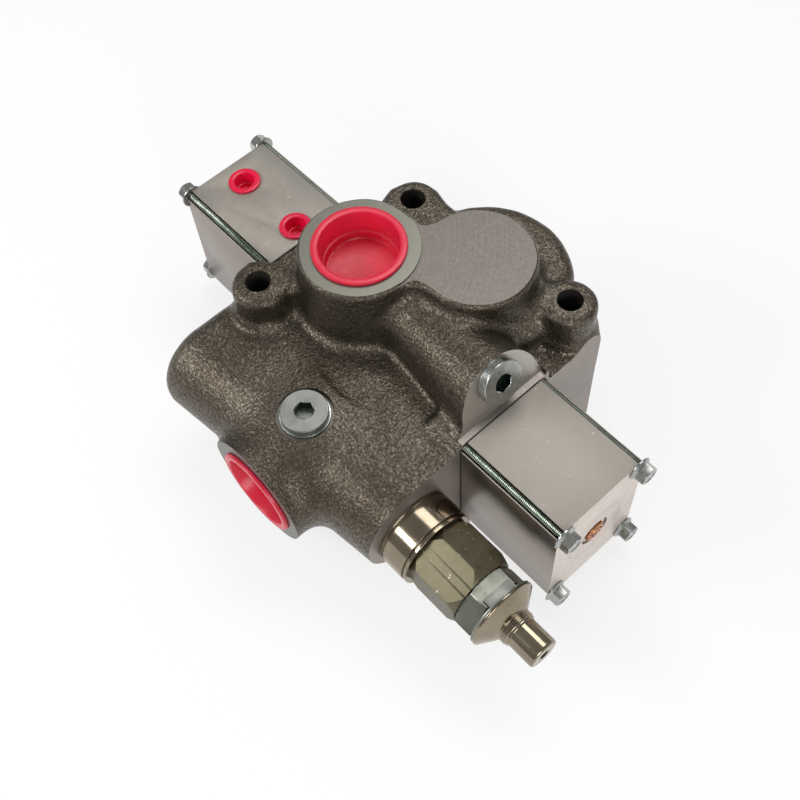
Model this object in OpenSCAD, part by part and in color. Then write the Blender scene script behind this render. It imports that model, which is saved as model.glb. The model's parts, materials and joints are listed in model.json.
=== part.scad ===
// Air-operated hoist control valve: an iron body with a sliding spool, an air cylinder at one
// end of the spool and a return spring housing at the other, and a relief cartridge in a side arm.
// X runs along the spool, Z is up, and the origin is the middle of the flat base.

/* [Casting] */
// Length of the casting between its two machined end faces
body_length = 161; // [156:1:175]
// Height of the spool axis over the base
axis_height = 53; // [50:0.5:58]
// Height of the main block of the casting
shoulder_height = 86; // [82:1:92]
// Radius of the rounded corners of the main block
plan_corner_r = 14; // [8:1:18]
// Radius of the large round flange beside the relief arm
lobe_r = 49; // [45:1:51]
// Height of the large round flange
lobe_height = 104.5; // [100:0.5:108]
// How far the body below the round flange and the ears stands back from them
flange_step = 1.5; // [1:0.25:3]
// Distance of the round flange's centre in front of the body's middle
lobe_x = 14; // [10:1:16]
// Distance of the round flange's centre from the spool's plane
lobe_y = 52.5; // [49:0.5:54]

/* [Mounting ears] */
// Height of the three ears
ear_height = 112.5; // [109:0.5:118]
// Outer radius of an ear
ear_r = 15.5; // [13:0.5:18]
// Diameter of the bolt hole through an ear
ear_hole_d = 14; // [11:0.5:16]
// Distance of the air side ear from the body's middle
ear_rear_x = 47; // [44:1:50]
// Distance of the air side ear from the spool's plane
ear_rear_y = 53.5; // [50:0.5:58]
// Distance of the spring side ear from the body's middle
ear_front_x = 64; // [60:0.5:65]
// Distance of the spring side ear from the spool's plane
ear_front_y = 66; // [62:0.5:70]
// Distance of the arm side ear from the body's middle
ear_arm_x = 64; // [60:0.5:65]
// Distance of the arm side ear from the spool's plane
ear_arm_y = 47; // [45:0.5:50]

/* [Top faces] */
// Height of the tank port's ring
ring_height = 131.5; // [128:0.5:136]
// Outer radius of the tank port's ring
ring_r = 32.5; // [30:0.5:36]
// Distance of the tank port from the body's middle
ring_x = 30.5; // [28:0.5:34]
// How far the milled pad lies below the ring
pad_step = 1; // [0.5:0.25:2]
// Radius of the round milled pad
pad_r = 31; // [28:0.5:34]
// Distance of the milled pad's centre from the body's middle
pad_x = 18; // [15:0.5:22]
// Distance of the milled pad's centre from the spool's plane
pad_y = 41; // [38:0.5:44]
// Draft of the ring and pad walls, as extra radius at the foot
wall_draft = 3; // [1:0.5:4]

/* [Relief arm] */
// Height of the arm's flat top
arm_top = 88.5; // [86:0.5:92]
// Height of the arm's underside
arm_bottom = 26; // [22:1:29]
// Distance of the arm's outer side from the spool's plane at the air end
arm_reach_rear = 115; // [111:1:117]
// Distance of the arm's outer side from the spool's plane at the spring end
arm_reach_front = 98.5; // [96:0.5:104]
// Radius of the arm's rounded corner at the air end
arm_corner_r = 11; // [8:1:14]
// How far the arm stands out past the end face at the air end
arm_overhang = 3.5; // [0:0.5:5]
// Distance of the relief cartridge's axis from the spool's plane
relief_y = 68; // [66:0.5:70]

/* [Pump port] */
// Distance of the pump port's face from the spool's plane
pump_face = 116; // [114:1:122]
// Distance of the pump port's axis from the body's middle
pump_x = 7; // [3:0.5:10]
// Outer radius of the pump port's boss
pump_boss_r = 34; // [32:0.5:36]

/* [Large ports] */
// Diameter of the threaded opening in the two large ports
large_port_d = 48; // [44:0.5:50]
// Depth of the threaded opening
large_port_depth = 27; // [24:1:32]
// Diameter of the passage behind a large port
passage_d = 36; // [28:1:40]
// Diameter of a shipping cap's flange
cap_flange_d = 52.8; // [51:0.2:56]
// Thickness of a shipping cap's flange
cap_flange_t = 2.2; // [1.5:0.1:3]
// Wall of a shipping cap
cap_wall = 2.2; // [1.5:0.1:3]
// Depth of a shipping cap below its flange
cap_depth = 20; // [12:1:22]

/* [Plugs] */
// Distance of the cylinder port plug's axis below the tank port's ring
plug_drop = 20; // [19:0.5:22]
// Distance of the cylinder port plug's axis from the spool's plane
plug_y = 3; // [0:0.5:6]
// How far the plug's spot face lies behind the end face
spot_depth = 12; // [8:0.5:14]
// Radius of the boss and of its spot face around the plug
spot_r = 20; // [19:0.5:21]
// Radius of the neck behind the plug where it leaves the tank port
neck_r = 16.5; // [14:0.5:18]
// How far the neck rises towards the plug
neck_rise = 11; // [6:1:14]
// Diameter of a plug's collar
plug_collar_d = 27.5; // [26:0.5:30]
// Thickness of the cylinder port plug's collar
plug_collar_t = 6.5; // [5:0.5:8]
// Thickness of the gauge plug's collar
gauge_collar_t = 4; // [3:0.5:6]
// Diameter of a plug's thread
plug_thread_d = 20.9; // [18:0.1:22]
// Length of a plug's thread
plug_thread_l = 12; // [8:1:16]
// Width across the flats of a plug's hexagon socket
plug_socket_af = 10; // [8:0.5:12]
// Depth of a plug's socket
plug_socket_depth = 7; // [5:0.5:9]
// Thickness of a plug's sealing washer
plug_washer_t = 1.5; // [1:0.1:2]
// Distance of the gauge plug from the spool's plane
gauge_y = 76; // [72:0.5:78]
// Distance of the cylinder port's passage behind the end face
cylinder_gallery_in = 38; // [35:0.5:40]

/* [End blocks] */
// Width of the air cylinder and of the spring housing
block_w = 64; // [60:1:68]
// Height of the air cylinder and of the spring housing
block_h = 83; // [80:1:86]
// Length of the air cylinder
air_block_l = 75.7; // [70:0.1:80]
// Length of the spring housing
spring_block_l = 69.2; // [64:0.1:74]
// Thickness of a gasket between a block and the casting
gasket_t = 0.8; // [0.5:0.1:1.5]
// Distance of a tie bolt's axis from the block's side
bolt_side = 4.3; // [4.2:0.1:5]
// Distance of a tie bolt's axis below the block's top
bolt_inset = 4.75; // [4.5:0.05:5.5]
// Diameter of a tie bolt
bolt_d = 6; // [5:0.5:6]
// Width of the open groove that a tie bolt lies in
groove_w = 6.8; // [6.6:0.1:7.4]
// Width of the lowered strip that opens a groove, from the block's side
open_w = 4.8; // [4:0.1:6]
// How far that strip lies below the block's top
rim_drop = 4.4; // [3.4:0.2:5]
// Diameter of a tie bolt's flange
bolt_flange_d = 14.2; // [12:0.2:15]
// Width across the flats of a tie bolt's head
bolt_af = 10; // [8:0.5:10.5]
// Height of a tie bolt's head with its flange
bolt_head_h = 7.6; // [6:0.2:9]
// Depth that a tie bolt screws into the casting
bolt_grip = 13; // [9:1:14]

/* [Air cylinder] */
// Bore of the air cylinder
air_bore_d = 50; // [44:1:52]
// Thickness of the air cylinder's closed end
air_end_wall = 8; // [6:0.5:10]
// Distance of the outer air port from the casting's end face
air_port_outer = 59.7; // [56:0.5:62]
// Distance of the inner air port from the casting's end face
air_port_inner = 11.2; // [10:0.5:13]
// Diameter of an air port
air_port_d = 13; // [11:0.5:14]
// Diameter of a small shipping cap's flange
air_cap_flange_d = 19.4; // [17:0.2:22]
// Depth of a small shipping cap below its flange
air_cap_depth = 9; // [7:0.5:10]
// Thickness of the air piston
piston_t = 14; // [12:0.5:16]
// Thickness of the air piston's rims beside its seal
piston_rim_t = 5; // [4:0.5:5.5]
// Distance of the air piston's near face from the casting's end face
piston_gap = 28.5; // [26:0.5:31]

/* [Spool] */
// Diameter of the spool
spool_d = 25; // [22:0.5:28]
// Running clearance of the spool and of the piston, as a radius
run_clear = 0.05; // [0.02:0.01:0.1]
// Travel of the spool each way
spool_travel = 8; // [6:0.5:9]
// Diameter of the spool's waist between its lands
spool_waist_d = 15; // [12:0.5:17]
// Diameter of the spool's stem towards the air piston
piston_stem_d = 14; // [12:0.5:16]
// Diameter of the stud that holds the piston and of its nut's thread
piston_stud_d = 10; // [8:0.5:11]

/* [Return spring] */
// Bore of the spring housing
spring_bore_d = 45; // [43:0.5:48]
// Thickness of the spring housing's closed end
spring_end_wall = 10; // [8:0.5:12]
// Wire diameter of the return spring
return_wire_d = 4; // [3:0.25:4.5]
// Mean diameter of the return spring
return_coil_d = 34; // [32:0.5:35]
// Length of the return spring at rest
return_spring_l = 32; // [30:0.5:36]
// Number of turns of the return spring
return_turns = 4.5; // [3.5:0.5:5]
// Thickness of a spring seat
seat_t = 3; // [2.5:0.25:4]
// Diameter of a spring seat
seat_d = 41; // [38:0.5:42]

/* [Relief cartridge] */
// Diameter of the cartridge's round collar
collar_d = 48; // [46:0.5:52]
// Length of the round collar
collar_l = 20.5; // [16:0.5:24]
// Width across the flats of the cartridge's hexagon
relief_af = 39.5; // [36:0.5:41]
// Length of the hexagon
relief_hex_l = 33; // [28:0.5:36]
// Diameter of the cartridge's thread in the arm
relief_thread_d = 33; // [28:0.5:36]
// Length of the cartridge inside the arm
relief_inside_l = 34; // [30:0.5:38]
// Width across the flats of the lock nut
lock_nut_af = 36.5; // [34:0.5:38]
// Length of the lock nut
lock_nut_l = 13.5; // [10:0.5:16]
// Thickness of the lock washer
lock_washer_t = 1.2; // [1:0.1:2]
// Width of the lock washer's bent tab
lock_tab_w = 10; // [6:0.5:12]
// Diameter of the wide end of the domed gland
dome_d = 43; // [40:0.5:44]
// Length of the gland's dome
dome_l = 8; // [6:0.5:10]
// Length of the gland's threaded neck
neck_l = 6; // [4:0.5:8]
// Diameter of the adjusting screw
adjuster_d = 18.6; // [16:0.1:19]
// How far the adjusting screw stands out of the gland's neck
adjuster_out = 16.5; // [12:0.5:18]
// Feed of the adjusting screw over its whole adjustment
adjuster_feed = 3; // [2:0.5:4]
// Width across the flats of the adjusting screw's socket
adjuster_socket_af = 6; // [5:0.5:8]
// Lift of the relief poppet
poppet_lift = 2.5; // [1.5:0.25:3]

/* [Breather] */
// Diameter of the breather's thread
breather_d = 8; // [6:0.5:10]
// Diameter of the breather's head
breather_head_d = 13; // [11:0.5:14]
// Diameter of the shallow recess round the breather
breather_recess_d = 19; // [16:0.5:22]
// Depth of that recess
breather_recess_t = 1.5; // [1:0.25:2]

/* [Hidden] */
$fn = 64;

// Overlap of cutting tools past the faces that they cut
over = 1;
// Gap between a fixed inner piece and the hole that it sits in
fit_gap = 0.05;

half = body_length / 2;
block_top = axis_height + block_h / 2;
block_bottom = axis_height - block_h / 2;
bolt_y = block_w / 2 - bolt_side;
bolt_z = block_h / 2 - bolt_inset;
air_x0 = -half - gasket_t;
air_x1 = air_x0 - air_block_l;
spring_x0 = half + gasket_t;
spring_x1 = spring_x0 + spring_block_l;
spot_x = half - spot_depth;
ears = [[-ear_rear_x, ear_rear_y], [ear_front_x, ear_front_y], [-ear_arm_x, -ear_arm_y]];
tank_gallery_x = -ring_x;
pump_gallery_x = pump_x;
plug_height = ring_height - plug_drop;
cylinder_gallery_x = half - cylinder_gallery_in;
gallery_d = spool_d + 14;
gallery_l = 16;
spool_end = half + spool_travel + 1.5;
seal_depth = 5;
seal_wire_d = 3.5;
seat_x0 = half;
outer_seat_x = seat_x0 + seat_t + return_spring_l;
piston_x1 = -half - piston_gap;
piston_x0 = piston_x1 - piston_t;
collar_x1 = half + collar_l;
hex_x1 = collar_x1 + relief_hex_l;
nut_x1 = hex_x1 + lock_nut_l;
washer_x1 = nut_x1 + lock_washer_t;
dome_x1 = washer_x1 + dome_l;
neck_x1 = dome_x1 + neck_l;
adjuster_x1 = neck_x1 + adjuster_out;
relief_x0 = half - relief_inside_l;
gland_tube_d = adjuster_d + 5;
gland_x0 = hex_x1 - 12;
poppet_d = 13;
poppet_hole_d = 8;
poppet_x0 = relief_x0 + 10;
poppet_x1 = poppet_x0 + 22;
spring_room_d = 19;
screw_x0 = gland_x0 + 4;
relief_seat_t = 5;
relief_wire_d = 2.4;
relief_coil_d = 13;
relief_turns = 7;

// Solid round bar along X, from x0 to x1
module bar_x(x0, x1, d, y = 0, z = axis_height) {
    translate([x0, y, z]) rotate([0, 90, 0]) cylinder(h = x1 - x0, d = d);
}

// Hexagonal bar along X, with a corner on top unless it is turned
module hex_bar_x(x0, x1, af, y = 0, z = axis_height, turn = 0) {
    translate([x0, y, z]) rotate([turn, 0, 0]) rotate([0, 90, 0])
        cylinder(h = x1 - x0, d = af / cos(30), $fn = 6);
}

// Turned solid along X: a list of [x, radius] points, closed along the axis
module turned_x(points, y = 0, z = axis_height) {
    outline = concat([[0, points[0][0]]], [for (p = points) [p[1], p[0]]],
                     [[0, points[len(points) - 1][0]]]);
    translate([0, y, z]) rotate([0, 90, 0]) rotate_extrude() polygon(outline);
}

// Ring of round wire round an axis along X
module wire_ring_x(x, mean_d, wire_d, y = 0, z = axis_height) {
    translate([x, y, z]) rotate([0, 90, 0]) rotate_extrude()
        translate([mean_d / 2, 0]) circle(d = wire_d);
}

// Straight upright cylinder whose top edge is rounded
module post(r, z1, edge, z0 = 0) {
    translate([0, 0, z0]) cylinder(r = r, h = z1 - edge - z0);
    rotate_extrude() union() {
        translate([0, z0]) square([r - edge, z1 - z0]);
        intersection() {
            translate([r - edge, z1 - edge]) circle(r = edge);
            translate([0, z1 - edge]) square([r, edge]);
        }
    }
}

// Coil spring along X, swept as rings of six points
module coil_x(x0, length, mean_d, wire_d, turns, y, z) {
    sides = 6;
    steps_per_turn = 20;
    steps = turns * steps_per_turn;
    lead = length - wire_d;
    points = [for (i = [0:steps], j = [0:sides - 1])
        let (a = i * 360 / steps_per_turn, b = j * 360 / sides,
             r = mean_d / 2 + wire_d / 2 * cos(b))
        [x0 + wire_d / 2 + lead * i / steps + wire_d / 2 * sin(b), y + r * cos(a), z + r * sin(a)]];
    walls = [for (i = [0:steps - 1], j = [0:sides - 1])
        let (k = (j + 1) % sides)
        [i * sides + j, i * sides + k, (i + 1) * sides + k, (i + 1) * sides + j]];
    start = [for (j = [0:sides - 1]) sides - 1 - j];
    end = [for (j = [0:sides - 1]) steps * sides + j];
    polyhedron(points = points, faces = concat([start], walls, [end]));
}

// Plan of the main block of the casting
module body_plan() {
    rear_x = -half + plan_corner_r;
    intersection() {
        hull() {
            translate([rear_x, -block_w / 2 - 3 + plan_corner_r]) circle(r = plan_corner_r);
            translate([rear_x, block_w / 2 + 3 - plan_corner_r]) circle(r = plan_corner_r);
            translate([lobe_x, lobe_y]) circle(r = lobe_r - flange_step);
            translate([half - plan_corner_r, -block_w / 2 - 3 + plan_corner_r])
                circle(r = plan_corner_r);
            translate([ear_front_x, ear_front_y]) circle(r = ear_r - flange_step);
            translate([half, ear_front_y - ear_r / 2]) circle(r = ear_r);
        }
        translate([-half, -block_w]) square([body_length, 3 * block_w]);
    }
}

// Waist between the tank port's ring and the milled pad, hollowed by a fillet on each side
module top_bridge() {
    fillet_r = 10;
    steer = [pad_x + ring_x, pad_y];
    span = norm(steer);
    ring_reach = ring_r + fillet_r - 1;
    pad_reach = pad_r + fillet_r - 1;
    along = (span * span + ring_reach * ring_reach - pad_reach * pad_reach) / (2 * span);
    across = sqrt(ring_reach * ring_reach - along * along);
    translate([-ring_x, 0]) rotate(atan2(steer[1], steer[0])) difference() {
        polygon([[0, 0], [along, -across], [span, 0], [along, across]]);
        for (side = [-1, 1]) {
            translate([along, side * across]) circle(r = fillet_r);
        }
    }
}

// Ring of the tank port, milled pad and the bridge between them
module top_faces() {
    foot = shoulder_height - 8;
    translate([-ring_x, 0, foot])
        cylinder(h = ring_height - foot, r1 = ring_r + wall_draft, r2 = ring_r);
    translate([pad_x, pad_y, foot])
        cylinder(h = ring_height - pad_step - foot, r1 = pad_r + wall_draft, r2 = pad_r);
    translate([0, 0, foot]) linear_extrude(ring_height - pad_step - foot) top_bridge();
}

// Side arm with a full round edge, which carries the pump port, the gauge plug and the cartridge
module relief_arm() {
    r = (arm_top - arm_bottom) / 2;
    z = arm_bottom + r;
    hull() {
        for (y = [-arm_reach_rear + r, -block_w / 2]) {
            translate([-half - arm_overhang + arm_corner_r, y, z]) rotate([0, 90, 0])
                rotate_extrude($fn = 40) translate([r - arm_corner_r, 0]) circle(r = arm_corner_r, $fn = 24);
        }
        for (y = [-arm_reach_front + r, -block_w / 2]) {
            translate([half - over, y, z]) rotate([0, 90, 0]) cylinder(h = over, r = r, $fn = 40);
        }
    }
    translate([pump_x, -gauge_y, z]) cylinder(h = r, r = plug_collar_d / 2 + 3);
}

// Boss of the pump port, with a concave flare where it meets the arm
module pump_boss() {
    flare = 10;
    length = pump_face - relief_y;
    intersection() {
        translate([pump_x, -relief_y, axis_height]) rotate([90, 0, 0]) rotate_extrude()
            difference() {
                square([pump_boss_r + flare, length]);
                translate([pump_boss_r + flare, length - 8]) circle(r = flare);
                translate([pump_boss_r, length - 8]) square([flare + over, 8 + over]);
            }
        translate([-half, -pump_face - over, 0]) cube([body_length, pump_face, arm_top - over]);
    }
}

// Neck from the tank port to the cylinder port's plug, which widens and rises on its way
module plug_neck() {
    start_x = -ring_x + 18;
    start_z = plug_height - neck_rise;
    run = spot_x - start_x;
    foot = shoulder_height - 10;
    translate([start_x, plug_y, start_z]) rotate([0, 90 - atan2(neck_rise, run), 0])
        cylinder(h = norm([run, neck_rise]) + over, r1 = neck_r, r2 = spot_r);
    intersection() {
        translate([0, plug_y, 0]) linear_extrude(plug_height)
            polygon([[start_x, -neck_r + 1], [spot_x, -spot_r + 1], [spot_x, spot_r - 1],
                     [start_x, neck_r - 1]]);
        translate([0, block_w, 0]) rotate([90, 0, 0]) linear_extrude(2 * block_w)
            polygon([[start_x, foot], [spot_x, foot], [spot_x, plug_height], [start_x, start_z]]);
    }
}

// Square pads behind the two end blocks, which the tie bolts screw into
module end_pads() {
    pad_l = 26;
    for (x = [-half, half - pad_l]) {
        translate([x, -block_w / 2 - 1, block_bottom + 0.5])
            cube([pad_l, block_w + 2, block_h - 1]);
    }
}

// Webs that join the ears' tops to the tank port's ring and to the milled pad
module ear_webs() {
    rear = ears[0];
    front = ears[1];
    arm = ears[2];
    polygon([rear + [-ear_r + 1, -3], [-ring_x - 28, 28], [-ring_x, 10], [pad_x - 12, pad_y],
             [pad_x - 24, pad_y + 24], rear + [25, 13], rear + [4, 14]]);
    polygon([front + [-12, 2], [pad_x + 18, pad_y + 16], [pad_x + 10, pad_y - 5], [pad_x + 34, pad_y],
             front + [-5, -14]]);
    polygon([arm + [-ear_r + 1, 5], arm + [6, 22.5], [-ring_x, -10], [-ring_x - 14, -32],
             arm + [16, 8], arm + [15, -3]]);
}

// Three ears, each a column down to the base with its web to the body
module ear_columns() {
    for (e = ears) {
        translate([e[0], e[1], 0]) post(r = ear_r, z1 = ear_height, edge = 2);
    }
    web_base = shoulder_height - 20;
    translate([0, 0, web_base]) linear_extrude(ear_height - 0.5 - web_base) ear_webs();
}

// Flow passages and threaded openings inside the casting
module body_passages() {
    spool_bore_d = spool_d + 2 * run_clear;
    bar_x(-half - over, half + over, spool_bore_d);
    for (x = [tank_gallery_x, pump_gallery_x, cylinder_gallery_x]) {
        bar_x(x - gallery_l / 2, x + gallery_l / 2, gallery_d);
    }
    bar_x(-half - over, -half + seal_depth, spool_d + 2 * seal_wire_d);
    bar_x(half - seal_depth, half + over, spool_d + 2 * seal_wire_d);
    // Tank port, straight down to its gallery
    translate([-ring_x, 0, ring_height - large_port_depth])
        cylinder(h = large_port_depth + over, d = large_port_d);
    translate([-ring_x, 0, axis_height]) cylinder(h = ring_height - axis_height, d = passage_d - 8);
    // Pump port, straight in to its gallery
    translate([pump_x, -pump_face + large_port_depth, axis_height]) rotate([90, 0, 0])
        cylinder(h = large_port_depth + over, d = large_port_d);
    translate([pump_x, 0, axis_height]) rotate([90, 0, 0])
        cylinder(h = pump_face - over, d = gallery_l - 2);
    translate([pump_x, -relief_y + passage_d / 2, axis_height]) rotate([90, 0, 0])
        cylinder(h = pump_face - relief_y, d = passage_d);
    // Cylinder port, in from the spot face and down to its gallery
    bar_x(cylinder_gallery_x, half + over, plug_thread_d, y = plug_y, z = plug_height);
    translate([cylinder_gallery_x, plug_y, axis_height]) cylinder(h = plug_height - axis_height, d = 15);
    // Gauge port, down to the pump chamber
    translate([pump_x, -gauge_y, axis_height]) cylinder(h = arm_top - axis_height + over, d = plug_thread_d);
    // Relief cartridge's bore, from the end face to the pump chamber
    bar_x(pump_x, half + over, relief_thread_d + 2 * fit_gap, y = -relief_y);
    for (e = ears) {
        translate([e[0], e[1], -over]) cylinder(h = ear_height + 2 * over, d = ear_hole_d);
    }
    for (x = [-half - over, half - bolt_grip - over], y = [-bolt_y, bolt_y], z = [-bolt_z, bolt_z]) {
        bar_x(x, x + bolt_grip + 2 * over, bolt_d + 2 * fit_gap, y = y, z = axis_height + z);
    }
}

// Room in front of the cylinder port's spot face and over the two end faces
module body_facing() {
    cut_r = spot_r + 1;
    translate([spot_x, plug_y, plug_height]) rotate([0, 90, 0]) cylinder(h = spot_depth + over, r = cut_r);
    translate([spot_x, plug_y - cut_r, block_top]) cube([spot_depth + over, 2 * cut_r, cut_r]);
    translate([half, -2 * block_w, -over]) cube([block_w, 4 * block_w, ring_height + 2 * over]);
    translate([-half - block_w, -block_w / 2 - over, -over])
        cube([block_w, 3 * block_w, ring_height + 2 * over]);
}

module valve_body() {
    color([0.36, 0.33, 0.29]) difference() {
        union() {
            linear_extrude(shoulder_height) body_plan();
            translate([lobe_x, lobe_y, 0])
                post(r = lobe_r, z1 = lobe_height, edge = 5, z0 = shoulder_height - 12);
            top_faces();
            relief_arm();
            pump_boss();
            plug_neck();
            end_pads();
            ear_columns();
        }
        body_passages();
        body_facing();
    }
}

// Cross section shared by the air cylinder and the spring housing
module block_profile() {
    difference() {
        translate([-block_w / 2, -block_h / 2]) square([block_w, block_h]);
        for (y = [-1, 1], z = [-1, 1]) {
            scale([y, z]) {
                translate([bolt_y, bolt_z]) circle(d = groove_w);
                translate([block_w / 2 - open_w, block_h / 2 - rim_drop])
                    square([open_w + over, rim_drop + over]);
            }
        }
    }
}

// Block with its open bolt grooves, from x0 to x1
module grooved_block(x0, x1) {
    translate([x0, 0, axis_height]) rotate([90, 0, 90]) linear_extrude(x1 - x0) block_profile();
}

module air_cylinder() {
    color([0.75, 0.74, 0.71]) difference() {
        grooved_block(air_x1, air_x0);
        bar_x(air_x1 + air_end_wall, air_x0 + over, air_bore_d);
        for (x = [air_port_outer, air_port_inner]) {
            translate([-half - x, 0, axis_height + air_bore_d / 2 - 3])
                cylinder(h = block_h / 2 - air_bore_d / 2 + 3 + over, d = air_port_d);
        }
    }
}

module spring_housing() {
    color([0.75, 0.74, 0.71]) difference() {
        grooved_block(spring_x0, spring_x1);
        bar_x(spring_x0 - over, spring_x1 - spring_end_wall, spring_bore_d);
        bar_x(spring_x1 - spring_end_wall - over, spring_x1 + over, breather_d + 2 * fit_gap);
        bar_x(spring_x1 - breather_recess_t, spring_x1 + over, breather_recess_d);
    }
}

module end_gaskets() {
    color([0.2, 0.2, 0.18]) for (side = [-1, 1]) {
        x0 = side < 0 ? -half - gasket_t : half;
        bore = side < 0 ? air_bore_d : spring_bore_d;
        difference() {
            translate([x0, 0, axis_height]) rotate([90, 0, 90]) linear_extrude(gasket_t) block_profile();
            bar_x(x0 - over, x0 + gasket_t + over, bore);
        }
    }
}

// Flanged hexagon bolts through one block; side is -1 for the air end, 1 for the spring end
module tie_bolts(side, face_x) {
    for (y = [-bolt_y, bolt_y], z = [-bolt_z, bolt_z]) {
        translate([face_x, y, axis_height + z]) rotate([0, side * 90, 0]) {
            cylinder(h = 1.6, d = bolt_flange_d);
            translate([0, 0, 1.6]) cylinder(h = bolt_head_h - 1.6, d = bolt_af / cos(30), $fn = 6);
            translate([0, 0, -abs(face_x) + half - bolt_grip])
                cylinder(h = abs(face_x) - half + bolt_grip, d = bolt_d);
        }
    }
}

module air_side_bolts() {
    color([0.6, 0.62, 0.6]) tie_bolts(-1, air_x1);
}

module spring_side_bolts() {
    color([0.6, 0.62, 0.6]) tie_bolts(1, spring_x1);
}

module breather() {
    slot_w = 1.4;
    head_r = breather_head_d / 2;
    color([0.72, 0.45, 0.25]) difference() {
        turned_x([[spring_x1 - spring_end_wall, breather_d / 2],
                  [spring_x1 - breather_recess_t, breather_d / 2],
                  [spring_x1 - breather_recess_t, head_r], [spring_x1 - 0.3, head_r],
                  [spring_x1 + 0.8, head_r - 1.5]]);
        translate([spring_x1 - 0.6, -head_r - over, axis_height - slot_w / 2])
            cube([3, 2 * (head_r + over), slot_w]);
    }
}

// Cup-shaped shipping cap standing on z = 0, open at the top
module cup_cap(flange_d, flange_t, body_d, depth, wall) {
    difference() {
        union() {
            cylinder(h = flange_t, d = flange_d);
            translate([0, 0, -depth]) cylinder(h = depth, d = body_d);
        }
        translate([0, 0, -depth + wall]) cylinder(h = depth + flange_t, d = body_d - 2 * wall);
        translate([0, 0, 0.2]) cylinder(h = flange_t, d1 = body_d - 2 * wall, d2 = body_d + 0.4);
    }
}

module large_cap() {
    cup_cap(cap_flange_d, cap_flange_t, large_port_d - 2 * fit_gap, cap_depth, cap_wall);
}

module tank_port_cap() {
    color([0.8, 0.1, 0.2]) translate([-ring_x, 0, ring_height]) large_cap();
}

module pump_port_cap() {
    color([0.8, 0.1, 0.2]) translate([pump_x, -pump_face, axis_height]) rotate([90, 0, 0]) large_cap();
}

module air_port_caps() {
    color([0.85, 0.08, 0.25]) for (x = [air_port_outer, air_port_inner]) {
        translate([-half - x, 0, block_top])
            cup_cap(air_cap_flange_d, 1.6, air_port_d - 2 * fit_gap, air_cap_depth, 1);
    }
}

// Collared plug on its washer, with the sealing face at z = 0 and the collar upwards
module collared_plug(collar_t) {
    difference() {
        union() {
            translate([0, 0, plug_washer_t]) cylinder(h = collar_t - 0.8, d = plug_collar_d);
            translate([0, 0, plug_washer_t + collar_t - 0.8])
                cylinder(h = 0.8, d1 = plug_collar_d, d2 = plug_collar_d - 1.6);
            translate([0, 0, -plug_thread_l])
                cylinder(h = plug_thread_l + plug_washer_t, d = plug_thread_d - 2 * fit_gap);
        }
        translate([0, 0, plug_washer_t + collar_t - plug_socket_depth])
            cylinder(h = plug_socket_depth + over, d = plug_socket_af / cos(30), $fn = 6);
    }
}

// Sealing washer under a plug's collar
module plug_washer() {
    difference() {
        cylinder(h = plug_washer_t, d = plug_collar_d - 0.5);
        translate([0, 0, -over]) cylinder(h = plug_washer_t + 2 * over, d = plug_thread_d);
    }
}

module at_cylinder_port() {
    translate([spot_x, plug_y, plug_height]) rotate([0, 90, 0]) children();
}

module at_gauge_port() {
    translate([pump_x, -gauge_y, arm_top]) children();
}

module cylinder_port_plug() {
    color([0.62, 0.63, 0.61]) at_cylinder_port() collared_plug(plug_collar_t);
}

module gauge_port_plug() {
    color([0.62, 0.63, 0.61]) at_gauge_port() collared_plug(gauge_collar_t);
}

module plug_washers() {
    color([0.5, 0.5, 0.48]) union() {
        at_cylinder_port() plug_washer();
        at_gauge_port() plug_washer();
    }
}

module spool_seals() {
    color([0.08, 0.08, 0.08]) for (x = [-half + seal_depth / 2, half - seal_depth / 2]) {
        wire_ring_x(x, spool_d + seal_wire_d + run_clear, seal_wire_d - 2 * run_clear);
    }
}

// Spool: three lands with waists between them, a stem and stud for the piston at the air end,
// and a stem for the outer spring seat at the spring end
module spool() {
    r = spool_d / 2;
    waist = spool_waist_d / 2;
    first = (tank_gallery_x + pump_gallery_x) / 2;
    second = (pump_gallery_x + cylinder_gallery_x) / 2;
    color([0.7, 0.7, 0.68]) difference() {
        turned_x([[piston_x0 - 7, piston_stud_d / 2], [piston_x1, piston_stud_d / 2],
                  [piston_x1, piston_stem_d / 2], [-spool_end, piston_stem_d / 2],
                  [-spool_end, r - 1], [-spool_end + 1, r],
                  [tank_gallery_x - 12, r], [tank_gallery_x - 10, waist],
                  [first - 7, waist], [first - 5, r], [first + 5, r], [first + 7, waist],
                  [second - 7, waist], [second - 5, r], [second + 5, r], [second + 7, waist],
                  [cylinder_gallery_x + 8, waist], [cylinder_gallery_x + 10, r],
                  [spool_end - 1, r], [spool_end, r - 1], [spool_end, 6], [outer_seat_x - 2, 6]]);
        bar_x(outer_seat_x - 16, outer_seat_x, 6);
    }
}

module air_piston() {
    r = air_bore_d / 2 - run_clear;
    color([0.72, 0.72, 0.7]) difference() {
        turned_x([[piston_x0, r - 1], [piston_x0 + 1, r], [piston_x0 + piston_rim_t, r],
                  [piston_x0 + piston_rim_t, r - 4], [piston_x1 - piston_rim_t, r - 4],
                  [piston_x1 - piston_rim_t, r], [piston_x1 - 1, r], [piston_x1, r - 1]]);
        bar_x(piston_x0 - over, piston_x1 + over, piston_stud_d + 2 * fit_gap);
    }
}

module piston_seal() {
    r = air_bore_d / 2 - run_clear;
    color([0.08, 0.08, 0.08]) difference() {
        bar_x(piston_x0 + piston_rim_t, piston_x1 - piston_rim_t, 2 * r);
        bar_x(piston_x0 + piston_rim_t - over, piston_x1 - piston_rim_t + over, 2 * (r - 4));
    }
}

module piston_nut() {
    color([0.6, 0.62, 0.6]) difference() {
        hex_bar_x(piston_x0 - 6, piston_x0, 17);
        bar_x(piston_x0 - 6 - over, piston_x0 + over, piston_stud_d + 2 * fit_gap);
    }
}

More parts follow.
